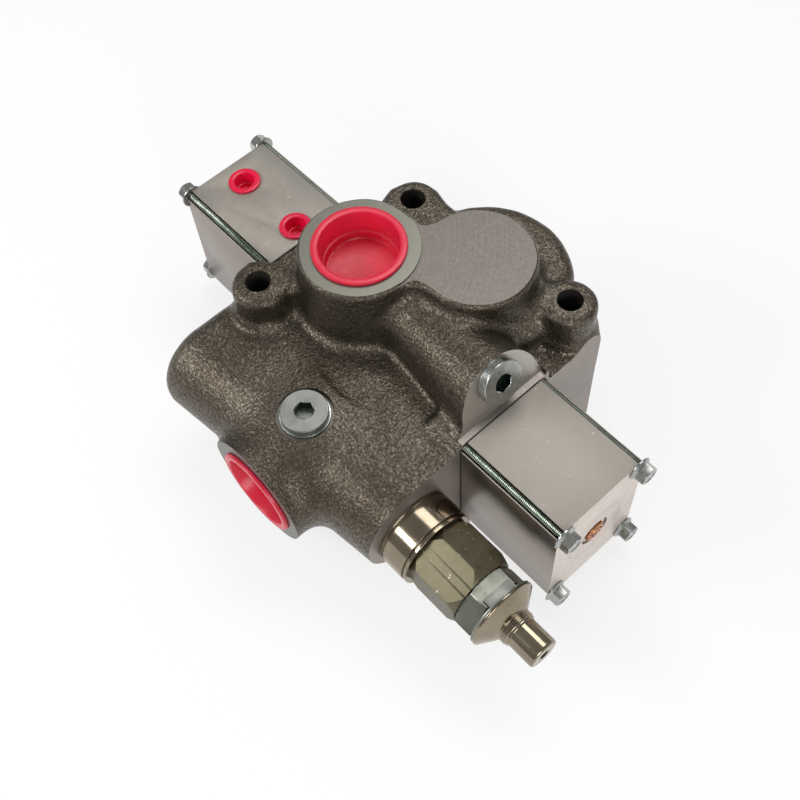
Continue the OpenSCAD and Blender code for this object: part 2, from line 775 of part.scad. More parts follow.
// Spring seat: a flat washer with a raised rim inside the coil
module spring_seat(x, hole_d, rim_side) {
    rim_d = return_coil_d - return_wire_d - 1;
    rim_x = rim_side > 0 ? x + seat_t : x - 2;
    difference() {
        union() {
            bar_x(x, x + seat_t, seat_d);
            bar_x(rim_x, rim_x + 2, rim_d);
        }
        bar_x(x - 3, x + seat_t + 3, hole_d);
    }
}

module inner_spring_seat() {
    color([0.45, 0.45, 0.43]) spring_seat(seat_x0, spool_d + 0.6, 1);
}

module outer_spring_seat() {
    color([0.45, 0.45, 0.43]) spring_seat(outer_seat_x, 8, -1);
}

module seat_screw() {
    x = outer_seat_x + seat_t;
    color([0.3, 0.3, 0.3]) difference() {
        union() {
            bar_x(x, x + 6, 13);
            bar_x(outer_seat_x - 14, x, 6 - 2 * fit_gap);
        }
        hex_bar_x(x + 2.5, x + 6 + over, 5);
    }
}

module return_spring() {
    color([0.35, 0.36, 0.38]) coil_x(seat_x0 + seat_t, return_spring_l, return_coil_d, return_wire_d,
                                     return_turns, 0, axis_height);
}

module relief_body() {
    collar_r = collar_d / 2;
    corner_r = relief_af / 2 / cos(30);
    color([0.62, 0.58, 0.5]) difference() {
        union() {
            turned_x([[relief_x0, relief_thread_d / 2 - 2], [relief_x0 + 2, relief_thread_d / 2],
                      [half, relief_thread_d / 2], [half, collar_r], [collar_x1 - 1.2, collar_r],
                      [collar_x1, collar_r - 1.2]], y = -relief_y);
            intersection() {
                hex_bar_x(collar_x1 - over, hex_x1, relief_af, y = -relief_y);
                turned_x([[collar_x1 - over, corner_r - 2.6], [collar_x1, corner_r - 2],
                          [collar_x1 + 4, corner_r + 1], [hex_x1 - 4, corner_r + 1],
                          [hex_x1, corner_r - 2.2]], y = -relief_y);
            }
        }
        bar_x(relief_x0 - over, poppet_x0 + over, poppet_hole_d, y = -relief_y);
        bar_x(poppet_x0, poppet_x0 + 7, poppet_d + 3, y = -relief_y);
        bar_x(poppet_x0, poppet_x1, poppet_d + 2 * run_clear, y = -relief_y);
        bar_x(poppet_x1 - 4, gland_x0 + over, spring_room_d, y = -relief_y);
        bar_x(gland_x0, hex_x1 + over, gland_tube_d + 2 * fit_gap, y = -relief_y);
        // Groove for the seal under the collar
        difference() {
            bar_x(half - over, half + 2.4, relief_thread_d + 7, y = -relief_y);
            bar_x(half - 2 * over, half + 3.4, relief_thread_d, y = -relief_y);
        }
        // Turned line between the collar's two steps
        difference() {
            bar_x(collar_x1 - 4.2, collar_x1 - 3.4, collar_d + 2, y = -relief_y);
            bar_x(collar_x1 - 5, collar_x1 - 3, collar_d - 1.2, y = -relief_y);
        }
    }
}

module relief_seal() {
    color([0.08, 0.08, 0.08]) wire_ring_x(half + 1.2, relief_thread_d + 3.5, 2.3, y = -relief_y);
}

module relief_lock_nut() {
    corner_r = lock_nut_af / 2 / cos(30);
    color([0.58, 0.6, 0.58]) difference() {
        intersection() {
            hex_bar_x(hex_x1, nut_x1, lock_nut_af, y = -relief_y, turn = 26);
            turned_x([[hex_x1, corner_r - 1.2], [hex_x1 + 1.2, corner_r + 0.1], [nut_x1, corner_r + 0.1]],
                     y = -relief_y);
        }
        bar_x(hex_x1 - over, nut_x1 + over, gland_tube_d + 2 * fit_gap, y = -relief_y);
    }
}

// Lock washer with one tab bent over a flat of the lock nut
module relief_lock_washer() {
    color([0.6, 0.62, 0.6]) difference() {
        union() {
            bar_x(nut_x1, washer_x1, dome_d - 0.5, y = -relief_y);
            translate([nut_x1 - 4, -relief_y, axis_height]) rotate([26 + 30 - 60, 0, 0])
                translate([0, -lock_tab_w / 2, lock_nut_af / 2 + 0.1])
                    cube([4 + lock_washer_t, lock_tab_w, lock_washer_t]);
        }
        bar_x(nut_x1 - over, washer_x1 + over, gland_tube_d + 2 * fit_gap, y = -relief_y);
    }
}

// Domed gland: a tube inside the lock nut, a bevelled dome and a threaded neck
module relief_gland() {
    neck_r = adjuster_d / 2 + 1.6;
    color([0.55, 0.5, 0.44]) difference() {
        turned_x([[gland_x0, gland_tube_d / 2], [washer_x1, gland_tube_d / 2], [washer_x1, dome_d / 2],
                  [washer_x1 + 2, dome_d / 2], [dome_x1 - 1, neck_r + 2], [dome_x1, neck_r],
                  [neck_x1 - 0.6, neck_r], [neck_x1, neck_r - 0.6]], y = -relief_y);
        bar_x(gland_x0 - over, neck_x1 + over, adjuster_d + 2 * run_clear, y = -relief_y);
    }
}

module adjusting_screw() {
    r = adjuster_d / 2;
    color([0.58, 0.54, 0.48]) difference() {
        turned_x([[screw_x0, r - 1], [screw_x0 + 1, r], [adjuster_x1 - 1.2, r], [adjuster_x1, r - 1.2]],
                 y = -relief_y);
        hex_bar_x(adjuster_x1 - 8, adjuster_x1 + over, adjuster_socket_af, y = -relief_y);
    }
}

module relief_spring_seat() {
    r = spring_room_d / 2 - 0.3;
    nose_r = relief_coil_d / 2 - relief_wire_d / 2 - 0.5;
    color([0.45, 0.45, 0.43])
        turned_x([[screw_x0 - relief_seat_t - 3, nose_r - 1], [screw_x0 - relief_seat_t - 2, nose_r],
                  [screw_x0 - relief_seat_t, nose_r], [screw_x0 - relief_seat_t, r],
                  [screw_x0 - 0.05, r]], y = -relief_y);
}

module relief_spring() {
    color([0.35, 0.36, 0.38]) coil_x(poppet_x1, screw_x0 - relief_seat_t - poppet_x1, relief_coil_d,
                                     relief_wire_d, relief_turns, -relief_y, axis_height);
}

module relief_poppet() {
    r = poppet_d / 2;
    hole_r = poppet_hole_d / 2;
    color([0.66, 0.66, 0.64])
        turned_x([[poppet_x0 + 0.1, hole_r - 0.1], [poppet_x0 + 4, r], [poppet_x1, r]], y = -relief_y);
}

valve_body();
air_cylinder();
spring_housing();
end_gaskets();
air_side_bolts();
spring_side_bolts();
breather();
tank_port_cap();
pump_port_cap();
air_port_caps();
cylinder_port_plug();
gauge_port_plug();
plug_washers();
spool_seals();
spool();
air_piston();
piston_seal();
piston_nut();
inner_spring_seat();
outer_spring_seat();
seat_screw();
return_spring();
relief_body();
relief_seal();
relief_lock_nut();
relief_lock_washer();
relief_gland();
adjusting_screw();
relief_spring_seat();
relief_spring();
relief_poppet();
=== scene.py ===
import json
import math

import bmesh
import bpy
import numpy as np
import openvdb
from mathutils import Matrix, Vector


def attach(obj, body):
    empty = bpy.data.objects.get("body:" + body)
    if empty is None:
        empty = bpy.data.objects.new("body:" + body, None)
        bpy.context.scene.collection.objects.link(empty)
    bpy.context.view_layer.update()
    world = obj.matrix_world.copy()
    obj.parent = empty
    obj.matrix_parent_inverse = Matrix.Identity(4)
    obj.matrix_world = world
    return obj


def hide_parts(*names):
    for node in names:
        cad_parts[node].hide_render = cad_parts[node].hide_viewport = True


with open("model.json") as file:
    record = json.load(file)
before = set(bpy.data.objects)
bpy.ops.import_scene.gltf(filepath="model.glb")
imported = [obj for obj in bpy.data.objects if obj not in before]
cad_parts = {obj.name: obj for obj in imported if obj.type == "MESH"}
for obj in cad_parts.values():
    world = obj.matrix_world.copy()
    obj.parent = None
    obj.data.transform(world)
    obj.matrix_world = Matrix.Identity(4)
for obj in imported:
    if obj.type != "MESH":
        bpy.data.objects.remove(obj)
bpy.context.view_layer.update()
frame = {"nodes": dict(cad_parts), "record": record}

scene = bpy.context.scene
MM = 0.001

# Sizes of the valve in millimetres
HALF = 80.5
AXIS_Z = 53.0
BLOCK_TOP = 94.5
# Tank port ring, milled pad and the lobe under the pad: centre x and y, radius, top
RING = (-30.5, 0.0, 32.5, 131.5)
PAD = (18.0, 41.0, 31.0, 130.5)
LOBE = (14.0, 52.5, 49.0, 104.5)
EARS = ((-47.0, 53.5), (64.0, 66.0), (-64.0, -47.0))
EAR_TOP = 112.5
EAR_R = 15.5
# Side arm: its top and underside, where its taper starts, and its reach before and after the taper
ARM_TOP = 88.5
ARM_LOW = 26.0
ARM_START = -73.0
ARM_REACH = (115.0, 98.5)
RELIEF_Y = -68.0
# Pump port: centre x, face y and radius; gauge port: centre x and y
PUMP = (7.0, -116.0, 34.0)
GAUGE = (7.0, -76.0)
# The cylinder port's spot face: its middle, its tilt, and the cutter's radius and drop below the plug
PLUG = (71.1, 3.0, 112.2)
PLUG_TILT = math.radians(17.6)
PLUG_AXIS = (math.cos(PLUG_TILT), 0.0, math.sin(PLUG_TILT))
SPOT_R = 28.3
SPOT_DROP = 15.0
SPOT_CENTRE = (PLUG[0] + PLUG_AXIS[2] * SPOT_DROP, PLUG[1] + 1, PLUG[2] - PLUG_AXIS[0] * SPOT_DROP)
# Where the cylinder port's neck starts to widen, and the top of the pads behind the end blocks
NECK_START = -12.5
PAD_TOP = 94.0
# Radii of the large ports' bores, the plugs' threaded holes and the ears' holes
PORT_R = 24.05
PLUG_HOLE_R = 10.4
EAR_HOLE_R = 7.0
BOLT_Y = 27.7
BOLT_Z = 36.75
BOLTS = [(y, z) for y in (-BOLT_Y, BOLT_Y) for z in (-BOLT_Z, BOLT_Z)]
SPRING_FACE = 150.5
AIR_FACE = -157.0
# How far the gauge plug's spot face lies below the arm's cast top
SPOT_SINK = 0.4


# Meshes

def new_object(name, verts, faces, mat, slot, smooth):
    obj = raw_object(name, (verts, faces))
    finish_piece(obj, mat, "valve", smooth)
    return obj


def finish_piece(obj, mat, body, smooth):
    """Give a piece its finish and its shading, and say its body."""
    obj.data.materials.clear()
    obj.data.materials.append(mat)
    shade(obj, smooth)
    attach(obj, body)


def paint(obj, finishes, finish_of):
    """Give each face the finish that finish_of names, from its middle in mm and its normal."""
    obj.data.materials.clear()
    for mat in finishes:
        obj.data.materials.append(mat)
    for poly in obj.data.polygons:
        poly.material_index = finishes.index(finish_of(poly.center / MM, poly.normal))


def shade(obj, degrees):
    bm = bmesh.new()
    bm.from_mesh(obj.data)
    bmesh.ops.recalc_face_normals(bm, faces=bm.faces)
    limit = math.radians(degrees)
    for face in bm.faces:
        face.smooth = True
    for edge in bm.edges:
        finishes = {face.material_index for face in edge.link_faces}
        edge.smooth = len(edge.link_faces) == 2 and len(finishes) == 1 and edge.calc_face_angle(0) < limit
    bm.to_mesh(obj.data)
    bm.free()


def frame_along(axis):
    z = Vector(axis).normalized()
    up = Vector((0, 0, 1)) if abs(z.z) < 0.9 else Vector((1, 0, 0))
    x = up.cross(z).normalized()
    y = z.cross(x)
    return x, y, z


def revolved(profile, centre, axis, segments=96):
    """Closed turned solid: profile is a list of (along, radius) in mm, from one end to the other."""
    x, y, z = frame_along(axis)
    c = Vector(centre)
    verts, faces, rings = [], [], []
    for along, radius in profile:
        base = c + z * along
        if radius <= 1e-6:
            rings.append([len(verts)])
            verts.append(base * MM)
            continue
        ring = []
        for i in range(segments):
            a = 2 * math.pi * i / segments
            ring.append(len(verts))
            verts.append((base + (x * math.cos(a) + y * math.sin(a)) * radius) * MM)
        rings.append(ring)
    for low, high in zip(rings, rings[1:]):
        if len(low) == 1 and len(high) == 1:
            continue
        for i in range(segments):
            j = (i + 1) % segments
            if len(low) == 1:
                faces.append((low[0], high[j], high[i]))
            elif len(high) == 1:
                faces.append((low[i], low[j], high[0]))
            else:
                faces.append((low[i], low[j], high[j], high[i]))
    if len(rings[0]) > 1:
        faces.append(tuple(reversed(rings[0])))
    if len(rings[-1]) > 1:
        faces.append(tuple(rings[-1]))
    return verts, faces


def prism(outline, centre, axis, low, high):
    """Closed prism along an axis: outline is a list of (u, v) in mm across it."""
    x, y, z = frame_along(axis)
    c = Vector(centre)
    n = len(outline)
    verts = [(c + x * u + y * v + z * h) * MM for h in (low, high) for u, v in outline]
    faces = [tuple(range(n))[::-1], tuple(range(n, 2 * n))]
    faces += [(i, (i + 1) % n, n + (i + 1) % n, n + i) for i in range(n)]
    return verts, faces


def hexagon(across, turn=0.0):
    r = across / 2 / math.cos(math.pi / 6)
    return [(r * math.cos(math.radians(60 * i + turn)), r * math.sin(math.radians(60 * i + turn)))
            for i in range(6)]


def raw_object(name, data):
    mesh = bpy.data.meshes.new(name)
    mesh.from_pydata([tuple(v) for v in data[0]], [], [tuple(f) for f in data[1]])
    bm = bmesh.new()
    bm.from_mesh(mesh)
    bmesh.ops.recalc_face_normals(bm, faces=bm.faces)
    bm.to_mesh(mesh)
    bm.free()
    obj = bpy.data.objects.new(name, mesh)
    scene.collection.objects.link(obj)
    return obj


def apply_modifiers(obj):
    graph = bpy.context.evaluated_depsgraph_get()
    mesh = bpy.data.meshes.new_from_object(obj.evaluated_get(graph))
    old = obj.data
    obj.modifiers.clear()
    obj.data = mesh
    bpy.data.meshes.remove(old)


def combine(obj, tools, operation):
    for tool in tools:
        mod = obj.modifiers.new("boolean", "BOOLEAN")
        mod.object = tool
        mod.operation = operation
        mod.solver = "MANIFOLD"
    apply_modifiers(obj)
    for tool in tools:
        mesh = tool.data
        bpy.data.objects.remove(tool)
        bpy.data.meshes.remove(mesh)
    return obj


def bevel_edges(obj, width, angle):
    mod = obj.modifiers.new("bevel", "BEVEL")
    mod.width = width * MM
    mod.segments = 2
    mod.limit_method = "ANGLE"
    mod.angle_limit = math.radians(angle)
    apply_modifiers(obj)


def bevelled(obj, width, angle=30):
    """Break the edges, once the seams inside flat faces are dissolved."""
    bm = bmesh.new()
    bm.from_mesh(obj.data)
    bmesh.ops.remove_doubles(bm, verts=bm.verts, dist=2e-6)
    bmesh.ops.dissolve_limit(bm, angle_limit=math.radians(0.5), verts=bm.verts, edges=bm.edges)
    bm.to_mesh(obj.data)
    bm.free()
    bevel_edges(obj, width, angle)


def softened(points, radius, steps=3, hold=0.06):
    """A profile with each inner corner rounded, and held flat just beside the round."""
    out = [points[0]]
    for before, corner, after in zip(points, points[1:], points[2:]):
        corner = Vector(corner)
        back, ahead = Vector(before) - corner, Vector(after) - corner
        cut = min(radius, back.length * 0.45, ahead.length * 0.45)
        back, ahead = back.normalized(), ahead.normalized()
        out.append(tuple(corner + back * (cut + hold * cut / radius)))
        for i in range(steps + 1):
            t = i / steps
            out.append(tuple(corner + back * cut * (1 - t) ** 2 + ahead * cut * t ** 2))
        out.append(tuple(corner + ahead * (cut + hold * cut / radius)))
    out.append(points[-1])
    return out


def turned(name, profile, centre, axis, mat, node, edge=0.3, segments=96, tools=()):
    """Turned piece with rounded edges, cut by the given tools, which stands for a CAD node."""
    obj = raw_object(name, revolved(softened(profile, edge), centre, axis, segments))
    if tools:
        combine(obj, tools, "DIFFERENCE")
    finish_piece(obj, mat, BODY_OF[node], 40)
    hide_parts(node)
    return obj


def hex_bar(name, across, turn, low, high, low_r, high_r, slope, centre, axis, mat, node, edge=0.3):
    """Hexagonal bar whose ends are turned down to a cone, as rings of columns round the axis."""
    x, y, z = frame_along(axis)
    c = Vector(centre)
    columns = 144
    half = across / 2
    verts, faces = [], []
    for i in range(columns):
        a = 2 * math.pi * i / columns
        flat = half / math.cos((a - math.radians(turn)) % (math.pi / 3) - math.pi / 6)
        out = x * math.cos(a) + y * math.sin(a)
        start = max(0.0, flat - low_r) / slope
        stop = max(0.0, flat - high_r) / slope
        for along, r in ((low, min(low_r, flat)), (low + start, flat), (high - stop, flat),
                         (high, min(high_r, flat))):
            verts.append((c + z * along + out * r) * MM)
    for i in range(columns):
        j = (i + 1) % columns
        faces += [(4 * i + k, 4 * j + k, 4 * j + k + 1, 4 * i + k + 1) for k in range(3)]
    faces.append(tuple(4 * i for i in range(columns))[::-1])
    faces.append(tuple(4 * i + 3 for i in range(columns)))
    obj = raw_object(name, (verts, faces))
    bevel_edges(obj, edge, 40)
    finish_piece(obj, mat, BODY_OF[node], 19)
    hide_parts(node)
    return obj


def dressed(node, mat, bevel):
    """A copy of a CAD node's solid with its edges broken, which stands for that node."""
    source = frame["nodes"][node]
    obj = bpy.data.objects.new(node + "_dressed", source.data.copy())
    scene.collection.objects.link(obj)
    bevelled(obj, bevel)
    finish_piece(obj, mat, BODY_OF[node], 40)
    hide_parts(node)
    return obj


BODY_OF = {n: b for b, nodes in frame["record"]["behaviour"]["bodies"].items() for n in nodes}


# Materials

class Nodes:
    """A material and its node tree, with short ways to add nodes."""

    def __init__(self, name, **sockets):
        self.mat = bpy.data.materials.new(name)
        self.mat.use_nodes = True
        self.tree = self.mat.node_tree
        self.shader = self.tree.nodes["Principled BSDF"]
        for key, value in sockets.items():
            self.shader.inputs[key.replace("_", " ")].default_value = value
        self.coords = self.add("ShaderNodeTexCoord").outputs["Object"]

    def add(self, kind, **values):
        node = self.tree.nodes.new(kind)
        for key, value in values.items():
            setattr(node, key, value)
        return node

    def link(self, a, b):
        self.tree.links.new(a, b)

    def noise(self, scale, detail=3.0, rough=0.55, vector=None):
        node = self.add("ShaderNodeTexNoise")
        node.inputs["Scale"].default_value = scale
        node.inputs["Detail"].default_value = detail
        node.inputs["Roughness"].default_value = rough
        self.link(vector or self.coords, node.inputs["Vector"])
        return node.outputs["Fac"]

    def mapped(self, kind, value, vector=None):
        node = self.add("ShaderNodeMapping")
        node.inputs[kind].default_value = value
        self.link(vector or self.coords, node.inputs["Vector"])
        return node.outputs["Vector"]

    def from_centre(self, centre, across):
        """Distance in metres from a centre in mm, across the two axes named."""
        split = self.add("ShaderNodeSeparateXYZ")
        self.link(self.coords, split.inputs["Vector"])
        a, b = (self.maths("SUBTRACT", split.outputs[axis], c * MM) for axis, c in zip(across, centre))
        squares = self.maths("ADD", self.maths("MULTIPLY", a, a), self.maths("MULTIPLY", b, b))
        return self.maths("SQRT", squares)

    def rings(self, centre, across, scale, detail, rough):
        """Noise that changes only with the distance from a centre."""
        line = self.add("ShaderNodeCombineXYZ")
        self.link(self.maths("MULTIPLY", self.from_centre(centre, across), scale), line.inputs[0])
        return self.noise(1.0, detail, rough, line.outputs[0])

    def ramp(self, value, *stops):
        node = self.add("ShaderNodeValToRGB")
        ramp = node.color_ramp
        while len(ramp.elements) < len(stops):
            ramp.elements.new(0.5)
        for element, (place, colour) in zip(ramp.elements, stops):
            element.position = place
            element.color = (*colour, 1) if len(colour) == 3 else colour
        self.link(value, node.inputs["Fac"])
        return node.outputs["Color"]

    def grey(self, value, *stops):
        return self.ramp(value, *[(p, (g, g, g)) for p, g in stops])

    def mix(self, fac, a, b, kind="MIX"):
        node = self.add("ShaderNodeMix", data_type="RGBA", blend_type=kind)
        self.put(fac, node.inputs["Factor"])
        self.put(a, node.inputs[6])
        self.put(b, node.inputs[7])
        return node.outputs[2]

    def maths(self, operation, a, b=None):
        node = self.add("ShaderNodeMath", operation=operation)
        for value, socket in zip((a, b), node.inputs):
            if value is not None:
                self.put(value, socket)
        return node.outputs[0]

    def put(self, value, socket):
        if isinstance(value, bpy.types.NodeSocket):
            self.link(value, socket)
        elif isinstance(value, tuple) and len(value) == 3 and socket.type == "RGBA":
            socket.default_value = (*value, 1)
        else:
            socket.default_value = value

    def colour(self, value):
        self.put(value, self.shader.inputs["Base Color"])

    def rough(self, value):
        self.put(value, self.shader.inputs["Roughness"])

    def bump(self, height, strength=0.3, distance=0.1, under=None):
        node = self.add("ShaderNodeBump")
        node.inputs["Strength"].default_value = strength
        node.inputs["Distance"].default_value = distance * MM
        self.link(height, node.inputs["Height"])
        if under is not None:
            self.link(under, node.inputs["Normal"])
        self.link(node.outputs["Normal"], self.shader.inputs["Normal"])
        return node.outputs["Normal"]


def srgb(r, g, b):
    def one(v):
        v /= 255
        return v / 12.92 if v <= 0.04045 else ((v + 0.055) / 1.055) ** 2.4
    return (one(r), one(g), one(b))


def cast_iron_material():
    m = Nodes("cast_iron", Metallic=0.85, Roughness=0.34)
    sand = m.noise(760, 3, 0.5)
    patches = m.noise(24, 3, 0.6)
    base = m.ramp(sand, (0.34, srgb(74, 68, 59)), (0.5, srgb(93, 86, 76)), (0.66, srgb(120, 112, 100)))
    m.colour(m.mix(m.grey(patches, (0.35, 0.0), (0.65, 0.5)), base, srgb(190, 180, 166), "MULTIPLY"))
    m.rough(m.grey(sand, (0.35, 0.42), (0.65, 0.26)))
    lumps = m.bump(m.noise(260, 2, 0.5), 0.7, 0.7)
    m.bump(sand, 1.0, 0.55, lumps)
    return m.mat


def machined_iron_material():
    m = Nodes("machined_iron", Metallic=0.75, Roughness=0.42)
    fine = m.noise(700, 3)
    m.colour(m.ramp(fine, (0.3, srgb(84, 83, 74)), (0.7, srgb(104, 103, 93))))
    m.rough(m.grey(m.noise(60, 3), (0.3, 0.4), (0.7, 0.52)))
    m.bump(m.noise(500, 2), 0.12, 0.05)
    return m.mat


def turned_iron_material(name, centre, across, light):
    """Turned face: fine rings about a centre, across the two axes named."""
    m = Nodes(name, Metallic=0.8, Roughness=0.36)
    rings = m.rings(centre, across, 2600.0, 2, 0.5)
    dark = tuple(c * 0.8 for c in light)
    m.colour(m.ramp(m.mix(0.3, rings, m.noise(900, 3)), (0.35, dark), (0.65, light)))
    m.bump(rings, 0.25, 0.04)
    return m.mat


def milled_pad_material():
    """Milled face: wide arcs about a point well away from the pad."""
    m = Nodes("milled_pad", Metallic=0.7, Roughness=0.46)
    arcs = m.rings((-70, -30), (0, 1), 900.0, 3, 0.6)
    base = m.ramp(arcs, (0.3, srgb(104, 98, 92)), (0.7, srgb(123, 117, 110)))
    grain = m.ramp(m.noise(700, 4), (0.35, srgb(110, 104, 98)), (0.65, srgb(156, 149, 142)))
    m.colour(m.mix(0.25, base, grain))
    m.bump(arcs, 0.2, 0.06)
    return m.mat


def aluminium_material(name, dark, light, rough, brush, metallic=0.85, strength=0.15):
    m = Nodes(name, Metallic=metallic, Roughness=rough)
    lines = m.noise(1.0, 4, 0.6, m.mapped("Scale", brush))
    clouds = m.noise(35, 4, 0.6)
    base = m.ramp(m.mix(0.5, lines, clouds), (0.35, dark), (0.65, light))
    m.colour(base)
    m.rough(m.grey(clouds, (0.3, rough * 0.85), (0.7, rough * 1.15)))
    m.bump(lines, strength, 0.05)
    return m.mat


def worn_metal_material(name, dark, light, rough, mark=None, metallic=0.55):
    """Matt metal with clouds, specks and short scratches; mark is the centre of a faint round print."""
    m = Nodes(name, Metallic=metallic, Roughness=rough)
    clouds = m.noise(45, 6, 0.7)
    base = m.ramp(clouds, (0.35, dark), (0.65, light))
    blots = m.grey(m.noise(16, 5, 0.7), (0.52, 0.0), (0.66, 0.5))
    base = m.mix(blots, base, tuple(c * 0.8 for c in dark))
    marks = m.grey(m.noise(260, 3, 0.6), (0.7, 0.0), (0.76, 1.0))
    for angle in (0.5, 1.4, 2.5):
        turned_coords = m.mapped("Rotation", (angle, angle, angle))
        line = m.noise(1.0, 1, 0.5, m.mapped("Scale", (1400, 110, 400), turned_coords))
        marks = m.maths("MAXIMUM", marks, m.grey(line, (0.76, 0.0), (0.8, 1.0)))
    if mark is not None:
        # The ramp counts in tenths of a metre: the print is a ring, 17 to 20.5 mm from its centre
        radius = m.from_centre(mark, (1, 2))
        print_line = m.grey(m.maths("MULTIPLY", radius, 10.0), (0.17, 0.0), (0.2, 0.35), (0.205, 0.0))
        base = m.mix(print_line, base, tuple(c * 0.7 for c in dark))
    m.colour(m.mix(m.maths("MULTIPLY", marks, 0.6), base, srgb(226, 222, 214)))
    m.rough(m.grey(clouds, (0.3, rough * 0.8), (0.7, rough * 1.15)))
    m.bump(m.maths("ADD", m.noise(700, 4), marks), 0.12, 0.04)
    return m.mat


def steel_material(name, dark, light, rough, grain=400, strength=0.08, metallic=1.0):
    m = Nodes(name, Metallic=metallic, Roughness=rough)
    cloud = m.noise(grain * 0.3, 4, 0.6)
    m.colour(m.ramp(cloud, (0.3, dark), (0.7, light)))
    m.rough(m.grey(m.noise(grain, 3), (0.3, rough * 0.75), (0.7, rough * 1.3)))
    m.bump(m.noise(grain * 3, 3), strength, 0.03)
    return m.mat


def plastic_material(name, colour, rough):
    m = Nodes(name, Roughness=rough, Subsurface_Weight=0.15, Subsurface_Scale=0.004)
    m.shader.inputs["Subsurface Radius"].default_value = (1.0, 0.2, 0.15)
    tint = m.noise(60, 3)
    m.colour(m.ramp(tint, (0.3, tuple(c * 0.88 for c in colour)), (0.7, colour)))
    m.rough(m.grey(m.noise(300, 3), (0.3, rough * 0.8), (0.7, rough * 1.2)))
    m.bump(m.noise(500, 2), 0.06, 0.05)
    return m.mat


def rubber_material():
    m = Nodes("black_rubber", Roughness=0.6)
    m.colour(m.ramp(m.noise(500, 3), (0.3, (0.012, 0.012, 0.012)), (0.7, (0.03, 0.03, 0.03))))
    m.bump(m.noise(1500, 2), 0.1, 0.03)
    return m.mat


def gasket_material():
    m = Nodes("gasket_fibre", Roughness=0.8)
    m.colour(m.ramp(m.noise(900, 4), (0.3, srgb(30, 31, 28)), (0.7, srgb(58, 58, 52))))
    m.bump(m.noise(1300, 3), 0.3, 0.05)
    return m.mat


IRON = cast_iron_material()
MACHINED = machined_iron_material()
RING_FACE = turned_iron_material("ring_face", (RING[0], RING[1]), (0, 1), srgb(126, 125, 115))
BOSS_FACE = turned_iron_material("boss_face", (PUMP[0], AXIS_Z), (0, 2), srgb(110, 108, 100))
SPOT_FACE = turned_iron_material("spot_face", (PLUG[1], PLUG[2]), (1, 2), srgb(190, 184, 176))
GAUGE_FACE = turned_iron_material("gauge_face", GAUGE, (0, 1), srgb(110, 108, 100))
PAD_FACE = milled_pad_material()
END_FACE = aluminium_material("milled_end", srgb(150, 141, 135), srgb(160, 151, 145), 0.45,
                              (20, 900, 20), 0.7, 0.05)
BLOCK_TOP_MAT = worn_metal_material("block_top", srgb(160, 154, 145), srgb(174, 168, 158), 0.6)
BLOCK_SIDE = aluminium_material("block_side", srgb(140, 130, 122), srgb(156, 147, 140), 0.34,
                                (20, 20, 400), 1.0, 0.02)
BLOCK_END = worn_metal_material("block_end", srgb(222, 211, 202), srgb(236, 226, 217), 0.5,
                                (0.0, AXIS_Z))
ZINC = steel_material("zinc_plate", srgb(150, 153, 150), srgb(184, 186, 182), 0.24)
ZINC_FACE = steel_material("zinc_face", srgb(130, 132, 126), srgb(146, 148, 141), 0.4, 150, 0.05, 0.8)
ZINC_DULL = steel_material("zinc_dull", srgb(98, 100, 92), srgb(120, 122, 112), 0.34, 120, 0.06)
# Plug sockets: dark green zinc, a painted shade inside the hexagon sockets
SOCKET_SHADE = steel_material("socket", srgb(44, 62, 56), srgb(84, 104, 94), 0.25, 300, 0.1)
ZINC_DARK = steel_material("zinc_thread", srgb(132, 142, 132), srgb(176, 184, 172), 0.2)
NICKEL = steel_material("warm_nickel", srgb(132, 122, 104), srgb(154, 143, 124), 0.13, 150, 0.03)
NICKEL_FLAT = worn_metal_material("worn_nickel", srgb(96, 91, 73), srgb(120, 114, 93), 0.42, None, 0.9)
GROUND = steel_material("ground_steel", srgb(165, 165, 162), srgb(190, 190, 188), 0.2)
SPRING = steel_material("spring_steel", srgb(58, 60, 64), srgb(92, 94, 98), 0.35)
BRONZE = steel_material("bronze", srgb(150, 96, 62), srgb(206, 146, 104), 0.26, 500, 0.3)
# Walls of the ears' holes: near-black iron, a painted shade inside the holes
BORE_SHADE = steel_material("bore_painted_shade", srgb(34, 31, 28), srgb(52, 48, 43), 0.55, 300, 0.2, 0.4)
RED = plastic_material("red_plastic", srgb(222, 36, 66), 0.32)
RED_SMALL = plastic_material("pink_red_plastic", srgb(230, 16, 66), 0.28)
RUBBER = rubber_material()
GASKET = gasket_material()


# Casting: a field of distances, blended smoothly, then machined

STEP = 1.0
gx = np.arange(-90.0, 86.5, STEP, dtype=np.float32)[:, None, None]
gy = np.arange(-122.0, 104.5, STEP, dtype=np.float32)[None, :, None]
gz = np.arange(-6.0, 138.5, STEP, dtype=np.float32)[None, None, :]


def join(a, b, k):
    h = np.clip(0.5 + 0.5 * (b - a) / k, 0, 1)
    return b + (a - b) * h - k * h * (1 - h)


def both(a, b, k):
    return -join(-a, -b, k)


def flat_circle(x, y, cx, cy, r):
    return np.sqrt((x - cx) ** 2 + (y - cy) ** 2) - r


def flat_polygon(x, y, points):
    """Signed distance to a polygon with its corners given anticlockwise."""
    d = np.full(np.broadcast(x, y).shape, 1e9, np.float32)
    sign = np.ones(d.shape, np.float32)
    n = len(points)
    for i in range(n):
        ax, ay = points[i]
        bx, by = points[(i + 1) % n]
        ex, ey = bx - ax, by - ay
        wx, wy = x - ax, y - ay
        t = np.clip((wx * ex + wy * ey) / (ex * ex + ey * ey), 0, 1)
        d = np.minimum(d, (wx - ex * t) ** 2 + (wy - ey * t) ** 2)
        up = (y >= ay) & (y < by) & (ex * wy < ey * wx)
        down = (y < ay) & (y >= by) & (ex * wy > ey * wx)
        sign = np.where(up | down, -sign, sign)
    return sign * np.sqrt(d)


def upright(plan, low, high, edge):
    slab = np.maximum(low - gz, gz - high)
    return both(plan, slab, edge)


